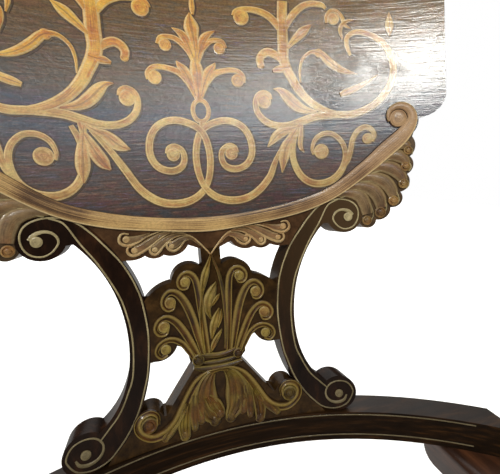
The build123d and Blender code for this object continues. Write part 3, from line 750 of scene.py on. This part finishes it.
anthemion = Relief(brush=BRUSH)
for side, hand in SIDES:
    reach = ARM_REACH[side]
    anthemion.shaded(palmette_arm_low, PAINT, side=side)
    anthemion.shaded([(reach * s, h, w) for s, h, w in palmette_arm_high], PAINT, side=side)
    for points in palmette_leaflets:
        anthemion.shaded(points, LEAFLET_PAINT, side=side, paint=LEAF)
    anthemion.shaded_eye(*low_arm_eye, EYE_PAINT, side=side)
    anthemion.shaded_eye(reach * high_arm_eye[0], *high_arm_eye[1:], EYE_PAINT, side=side)
for bud in palmette_buds:
    anthemion.shaded(bud, BUD_PAINT, paint=LEAF)
anthemion.piece("small_anthemion", painted, "back")

for side, hand in SIDES:
    foliage = Relief(brush=BRUSH)
    for points in (big_stem, hook, top_left_branch, top_right_branch, top_volute):
        foliage.shaded(points, PAINT, side=side)
    for points in (lower_circle, lower_branch):
        foliage.shaded(further_out(points, side), PAINT, side=side)
    foliage.shaded(swelled(trunk, TRUNK_SWELL[side]), TRUNK_PAINT, side=side)
    for points in leaf_cluster[side] + side_leaves:
        foliage.shaded(points, LEAF_PAINT, side=side, paint=LEAF)
    for place in high_eyes + further_out(low_eyes, side):
        foliage.shaded_eye(*place, EYE_PAINT, side=side)
    foliage.eye(*hook[-1][:2], HOOK_END_R, PAINT, side=side, shape=DOME)
    foliage.piece("side_foliage_" + hand, painted, "back")

# ======== gilt edge band
band_path = [
    (0, 39.75, 16.5), (50, 43.3, 14.8), (100, 51.2, 15.6), (141, 64.9, 15), (180, 90, 17), (203, 108, 19),
    (219, 120.5, 18), (229.5, 133, 14), (232, 143, 11), (227, 151.5, 9.5), (218, 154.5, 8), (209.5, 151, 6),
    (206.5, 144.5, 4.5), (207.5, 138.5, 3)]
BAND_RISE, BAND_EYE_RISE = 3.0, 3.4
band = Relief()
band.stroke([(-s, h, w) for s, h, w in reversed(band_path[1:])] + band_path, BAND_RISE, "band", step=3)
for side, hand in SIDES:
    band.eye(217, 141, 9.4, BAND_EYE_RISE, side=side)
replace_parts(band.piece("gilt_edge_band", (band_gold,), "back"), "edge_band")

# ======== stiles: gold lining and eyes
stile_line_in = [
    (111, 37), (92, 12), (83, -5), (78, -18), (74, -34), (71, -68), (74.5, -105), (79.5, -124), (87, -145),
    (98, -164), (110, -178), (120, -186), (134, -189), (147, -185), (154, -175), (155, -168), (149, -159),
    (138.6, -156), (128.6, -158.6), (123, -166), (123.5, -174), (129, -180), (137, -182), (144.5, -179.5),
    (147.5, -173.5)]
stile_line_out = [
    (147, 56.5), (140, 53.8), (134, 49), (124, 31), (111, 10.6), (97, -18), (90.7, -38), (86.5, -69),
    (89, -105), (95.7, -124), (105, -142), (116, -154), (121.5, -159.5), (125, -163)]
stile_line_top = [
    (111, 37), (123, 49), (134, 55), (146, 57), (157, 55.6), (166, 50.6), (170, 42), (168.6, 32), (163, 25),
    (154, 23), (146, 27), (141, 35), (144, 42), (151, 45), (159, 43), (163, 38)]
LINE_W = 1.7
LINING_RISE, STILE_EYE_RISE = 0.7, 1.6
# widths of a line's last points, where it runs into its eye
LOW_SWELL = (2, 2.2, 2.6, 3.2, 4, 3.6, 2)
TOP_SWELL = (2.2, 2.6, 3.2, 4, 5)


def lined(points, swell=()):
    widths = [LINE_W] * (len(points) - len(swell)) + list(swell)
    return [(s, h, w) for (s, h), w in zip(points, widths)]


for side, hand in SIDES:
    lining = Relief()
    for points, swell in ((stile_line_out, ()), (stile_line_in, LOW_SWELL), (stile_line_top, TOP_SWELL)):
        lining.stroke(lined(points, swell), LINING_RISE, "round", side=side, step=3)
    lining.piece("stile_lining_" + hand, (line_gold,), "back")
    eyes = Relief()
    eyes.eyes([(158, 36.5, 5.0), (138.5, -171, 4.8)], STILE_EYE_RISE, side=side)
    eyes.piece("stile_eyes_" + hand, (line_gold,), "back")

# ======== shell ruffles
ruffle_flutes = [
    [(146, 62, 5), (160, 63, 9), (172, 59, 12), (178, 49, 12), (180, 38, 10)],
    [(158, 70, 6), (174, 70, 10), (187, 64.5, 13), (194, 55, 13), (196, 44, 10)],
    [(170, 79, 6), (186, 79, 10), (200, 73.5, 13), (207, 65, 12), (210, 56, 9)],
    [(182, 88, 6), (196, 90, 10), (209, 87, 13), (217, 80.5, 12), (221, 73, 9)],
    [(195, 98, 6), (207, 101, 9), (216, 100.5, 12), (222.5, 96, 10), (225, 91, 8)],
    [(209, 109, 5), (217, 112, 8), (224, 112.5, 9), (228, 109, 6)]]
ruffle_ridges = [
    [(150, 58), (164, 61.5), (177, 57), (184.5, 47), (187, 37), (184, 31)],
    [(160, 65.5), (178, 67.5), (192, 62.5), (200, 53), (202, 44), (199, 38)],
    [(172, 74), (189, 74.5), (204, 69.5), (213, 61), (216, 52), (213, 47)],
    [(184, 82.5), (198, 85.5), (212, 83.5), (222, 77), (227, 69), (224, 64)],
    [(197, 93), (208, 97.5), (219, 98), (227, 93), (230, 87), (227, 83)],
    [(211, 105), (219, 109.5), (227, 110.5), (232, 106), (231, 101)]]
ruffle_beads = [
    (179, 31, 5.6), (194.3, 39, 6.4), (209.3, 51.3, 6), (220.7, 69.5, 5.6), (223.6, 88, 5.4),
    (226.5, 105.5, 4.8)]
FLUTE_SWELL = 1.3
FLUTE_RISE, BEAD_RISE, RIDGE_RISE = 2.4, 3.0, 3.2
for side, hand in SIDES:
    flutes = Relief()
    flutes.strokes([swelled(points, FLUTE_SWELL) for points in ruffle_flutes], FLUTE_RISE, "round", side)
    flutes.eyes(ruffle_beads, BEAD_RISE, side, shape=BUTTON, paint=1)
    flutes.piece("shell_flutes_" + hand, (shell_gold, bead_gold), "back")
    ridges = Relief()
    ridges.strokes([lined(points) for points in ruffle_ridges], RIDGE_RISE, "round", side)
    ridges.piece("shell_ridges_" + hand, (line_gold,), "back")

# ======== aprons
apron_leaves = [
    [(10, 18, 2), (20, 26.5, 4), (30, 25.5, 7), (37, 21.5, 9), (42, 20, 8)],
    [(24, 31, 2.4), (36, 31, 3.6), (46, 27, 6.5), (53, 21.5, 8.5), (58, 18.5, 8)],
    [(38, 34.5, 2), (50, 32.5, 5), (60, 27, 8), (69, 22, 9), (76, 20, 8)],
    [(60, 35, 2), (70, 31.5, 6), (78, 30, 8), (84, 31, 8)]]
# each line runs down beside the last, under its own eye and back over the top of it
apron_curls = [
    [(18.6, 26, 1.2), (26, 24.1, 2), (30.4, 19.1, 2.6), (35.4, 15.3, 3.2), (39.8, 15, 3.2), (43.6, 17.6, 3),
     (44.9, 21.9, 2.6), (42, 24.6, 2.2), (38, 23.9, 1.6)],
    [(0, 7, 1.8), (5, 13.5, 2), (11, 20.5, 2), (17, 26.5, 1.9), (23, 30, 1.7), (30.8, 30.2, 1.6),
     (37.5, 28.4, 1.8), (43.6, 24.4, 2.2), (48.5, 20.3, 2.6), (52.1, 16.1, 3), (56.1, 13, 3.2),
     (60, 14, 3.2), (61.8, 17.8, 2.8), (60.5, 21.4, 2.2), (57, 22.4, 1.6)],
    [(26, 32.4, 0.8), (34.4, 34, 1.2), (42.9, 33, 1.5), (49.6, 29.6, 1.8), (55.6, 25.6, 2.2),
     (61, 21.6, 2.6), (65.6, 18.9, 2.8), (70.8, 16.2, 3.2), (77, 14.2, 3.4), (81.7, 16.1, 3.2),
     (83.4, 19.6, 2.8), (82.2, 23, 2.2), (78.5, 23.8, 1.6)],
    [(50, 36, 0.8), (58.7, 33.7, 1.6), (65.8, 31.1, 2), (71, 27.8, 2.4), (74.7, 26.3, 2.8),
     (79.7, 24.9, 3.2), (84.4, 25.2, 3.4), (88.9, 27.8, 3.4), (90, 31.6, 3), (88.1, 35.9, 2.6),
     (84.6, 37, 2), (80.5, 36, 1.4)]]
apron_eyes = [(39.8, 20, 2.9), (56.8, 18, 3.1), (76.4, 19.2, 3.3), (83, 31, 3.7)]
APRON_LEAF_RISE, CURL_RISE, CURL_EYE_RISE = 1.4, 2.0, 2.2
for side, hand in SIDES:
    scroll = Relief()
    scroll.strokes(apron_leaves, APRON_LEAF_RISE, "leaf", side)
    scroll.strokes(apron_curls, CURL_RISE, "round", side, paint=1)
    scroll.eyes(apron_eyes, CURL_EYE_RISE, side, shape=DOME, paint=1)
    scroll.piece("apron_scrolls_" + hand, (shell_gold, curl_gold), "back")

# ======== palmette
palmette_strands = [
    [(11, -100, 5), (13, -75, 7), (15, -50, 8), (16.5, -30, 8), (19, -17, 7.5), (25, -10.5, 7),
     (32, -11.5, 6), (36.5, -18, 5), (34.5, -24.5, 4.5), (29, -25.5, 4), (26.5, -21, 4)],
    [(16, -101, 5), (20.5, -78, 8), (25, -58, 9), (31, -41, 9), (38, -30.5, 8), (46, -27.5, 7),
     (52.5, -32.5, 6), (54, -40, 5), (50, -45.5, 4.5), (44.5, -45, 4), (43, -40, 4)],
    [(21, -102, 5), (28, -86, 8), (35.5, -70, 8.5), (43.5, -58.5, 8), (52, -53.5, 7), (60, -56.5, 6),
     (63.5, -64, 5), (60, -70, 4.5), (54, -70.5, 4), (51.5, -66, 4)],
    [(26, -104, 4), (31, -94, 6), (37, -84.5, 6.5), (45, -78.5, 6.5), (54, -77.5, 6), (62, -82, 5.5),
     (64.5, -89, 4.5), (60, -94.5, 4), (54, -92, 4)]]
palmette_carved_eyes = [(29.3, -18.8, 5.4), (46.5, -38.6, 5.9), (54.8, -62.8, 6), (55, -86.8, 5.4)]
lancet_leaf = [
    (0, 8, 1), (-3.5, -2, 5), (-7.5, -13, 9), (-10.5, -23, 8), (-13, -35, 4), (-15.5, -55, 4),
    (-16, -80, 4.5), (-15, -98, 4)]
lancet_stem = [(0, 8, 1.6), (4, -4, 3), (8, -18, 4), (10.5, -40, 4.5), (11, -70, 4.5), (9, -98, 4)]
sprig = [
    [(-5, -63, 2), (-8, -52, 8), (-6, -42, 13), (-1, -31, 10), (3.5, -23, 1)],
    [(-3, -48, 3), (2.5, -41, 5), (6.5, -36.5, 1)],
    [(-6, -85, 2), (-3.5, -73, 9), (0.5, -62, 9), (4.5, -52, 1)],
    [(1, -73, 3), (5.5, -63, 4.5), (7, -54, 1)],
    [(-8, -99, 2), (-4, -91, 7), (1, -83, 6), (6, -76, 1)]]
binding = [
    [(-19, -100.5, 3), (-10, -102.5, 6.5), (0, -103.8, 7), (10, -102.8, 6.5), (19, -99.5, 3)],
    [(-17, -109.5, 3), (-8, -110.8, 6), (2, -111.2, 6), (12, -110.5, 5.5), (18, -109, 3)],
    [(-28, -113, 4), (-18, -116, 7), (-5, -117.3, 7.5), (8, -117.3, 7.5), (19, -116, 6.5), (26, -114, 4)]]
binding_knots = [(-22.5, -105, 6.8), (22, -105, 5.8)]
STRAND_SWELL = 1.15
STRAND_RISE, STEM_RISE, LANCET_RISE, SPRIG_RISE, BINDING_RISE, KNOT_RISE = 3.0, 3.2, 3.8, 3.4, 3.8, 4.0
carving = Relief()
for side, hand in SIDES:
    strands = [swelled(points, STRAND_SWELL) for points in palmette_strands]
    carving.strokes(strands, STRAND_RISE, "strand", side, paint=2)
    carving.eyes(palmette_carved_eyes, STRAND_RISE, side, paint=1)
carving.stroke(lancet_stem, STEM_RISE, "round")
carving.stroke(lancet_leaf, LANCET_RISE, "leaf", paint=1)
carving.strokes(sprig, SPRIG_RISE, "leaf", paint=1)
carving.strokes(binding, BINDING_RISE, "round")
carving.eyes(binding_knots, KNOT_RISE, shape=BUTTON)
carving.piece("palmette_carving", (olive_gold, bright_gold, strand_gold), "back")

# ======== base: arch and drooping leaves
arch = [
    (0, -119.5, 5), (14, -121.5, 7), (26, -129, 9), (35, -141, 10.5), (43, -155, 11.5), (51, -167.5, 11.5),
    (62, -175.5, 11), (76, -177, 10), (87, -169, 9), (90, -159, 8), (85, -151.5, 7), (76, -149.5, 6),
    (69.5, -155, 5), (69.5, -164, 4)]
droop = [
    [(8, -122, 9), (14, -131, 19), (17.5, -143, 27), (17.5, -155, 29), (14.5, -166, 23), (10, -174, 17),
     (9, -178, 13)],
    [(23, -154, 12), (24.5, -165, 13), (24, -173, 11)],
    [(29, -143, 9), (31, -157, 12), (31.5, -170, 11), (31.5, -180, 8)],
    [(37, -150, 7), (41, -162, 13), (43, -174, 15), (42.5, -186, 12)],
    [(41, -156, 8), (50, -167, 12), (58, -176, 12), (63, -182, 9)]]
droop_lobe = [(-16, -148, 9), (-9, -158, 17), (-4, -166, 14), (-3, -171, 12)]
BROAD = 14  # a leaf wider than this is fluted
DROOP_RISE, ARCH_RISE, DROOP_LOBE_RISE = 3.4, 3.8, 4.0
base = Relief()
for side, hand in SIDES:
    for points in droop:
        widest = max(w for s, h, w in points)
        base.lobe(points, DROOP_RISE, "fluted" if widest > BROAD else "leaf", side=side, paint=2)
    base.stroke(arch, ARCH_RISE, "strand", side, paint=1)
    base.eye(78.6, -162.3, 9.0, ARCH_RISE, side, shape=BUTTON)
base.lobe(droop_lobe, DROOP_LOBE_RISE, "fluted", paint=2)
base.piece("base_carving", (olive_gold, strand_gold, leaf_gold), "back")

# ======== rail lining
RAIL_LINING_RISE = 0.6
rail_lining = Relief(place=on_rail)
for z in (-3.5, -30.0):       # below the rail's top edge
    rail_lining.stroke([(s, z, LINE_W) for s in range(-285, 286, 30)], RAIL_LINING_RISE, "round", step=8)
rail_lining.piece("rail_lining", (line_gold,), "back")

# ======== room
ROOM_LIGHT = 0.14
WHITE = (1.0, 1.0, 1.0, 1.0)
bpy.ops.mesh.primitive_plane_add(size=13.0, location=(0, 1.0, 0))
floor = bpy.context.object
floor.name = "floor"
# Plaster, trowelled smooth and matt. The sweep behind the chair glows as a lit studio ground
# does, and more so far off; the floor before it stays dim.
plaster, tree, shader, ground = new_finish("pale_plaster_floor")
glow = add_node(tree, "Math", {0: fade(tree, ground, "Y", -0.85, -0.2, 0.0, 0.4),
                               1: fade(tree, ground, "Y", 0.5, 3.5, 0.0, 0.25)}, operation="ADD")
feed(tree, shader, {"Base Color": "#f4f3f0", "Roughness": 0.9, "Emission Strength": glow,
                    "Emission Color": WHITE})
floor.data.materials.append(plaster)

world = bpy.data.worlds.new("white_room")
bpy.context.scene.world = world
world.use_nodes = True
tree = world.node_tree
# the room looks white behind the chair and lights it dimly, as past a white backdrop
seen = add_node(tree, "LightPath").outputs["Is Camera Ray"]
level = add_node(tree, "MapRange", {0: seen, "To Min": ROOM_LIGHT, "To Max": 1.0})
feed(tree, tree.nodes["Background"], {"Color": WHITE, "Strength": level})
bpy.context.scene.view_settings.view_transform = "Standard"


def lamp(name, kind, at, aim, tone, **settings):
    data = bpy.data.lights.new(name, kind)
    data.color = tone
    for setting, value in settings.items():
        setattr(data, setting, value)
    made = put_in_scene(name, data)
    made.location = at
    made.rotation_euler = (Vector(aim) - Vector(at)).to_track_quat("-Z", "Y").to_euler()


# the varnish is a hollow mirror: what it shows is four metres in front, above head height
board_middle = on_board(120, 180)
soft_boxes = [      # name, place, aim, width and height in metres, radiance, tone
    ("window", (0.02, -4.0, 3.10), board_middle, (0.30, 0.56), 62.0, (1.0, 0.99, 0.94)),
    ("window_wall", (0.30, -4.05, 3.0), board_middle, (0.90, 1.0), 10.0, (0.99, 1.0, 0.94)),
    ("far_wall", (0.75, -4.1, 2.5), board_middle, (0.9, 1.3), 0.9, (0.80, 0.88, 1.0)),
    ("ceiling", (0.0, 5.0, 4.5), (0.0, 5.0, 0.0), (10.0, 10.0), 1.8, (1.0, 0.99, 0.97))]
for name, at, aim, (wide, tall), radiance, tone in soft_boxes:
    lamp(name, "AREA", at, aim, tone, shape="RECTANGLE", size=wide, size_y=tall,
         energy=radiance * pi * wide * tall)
lamp("key", "SPOT", (-2.2, -2.4, 3.4), on_board(-250, 80), (1.0, 0.97, 0.92), energy=372.0,
     shadow_soft_size=0.35, spot_size=radians(32), spot_blend=1.0)
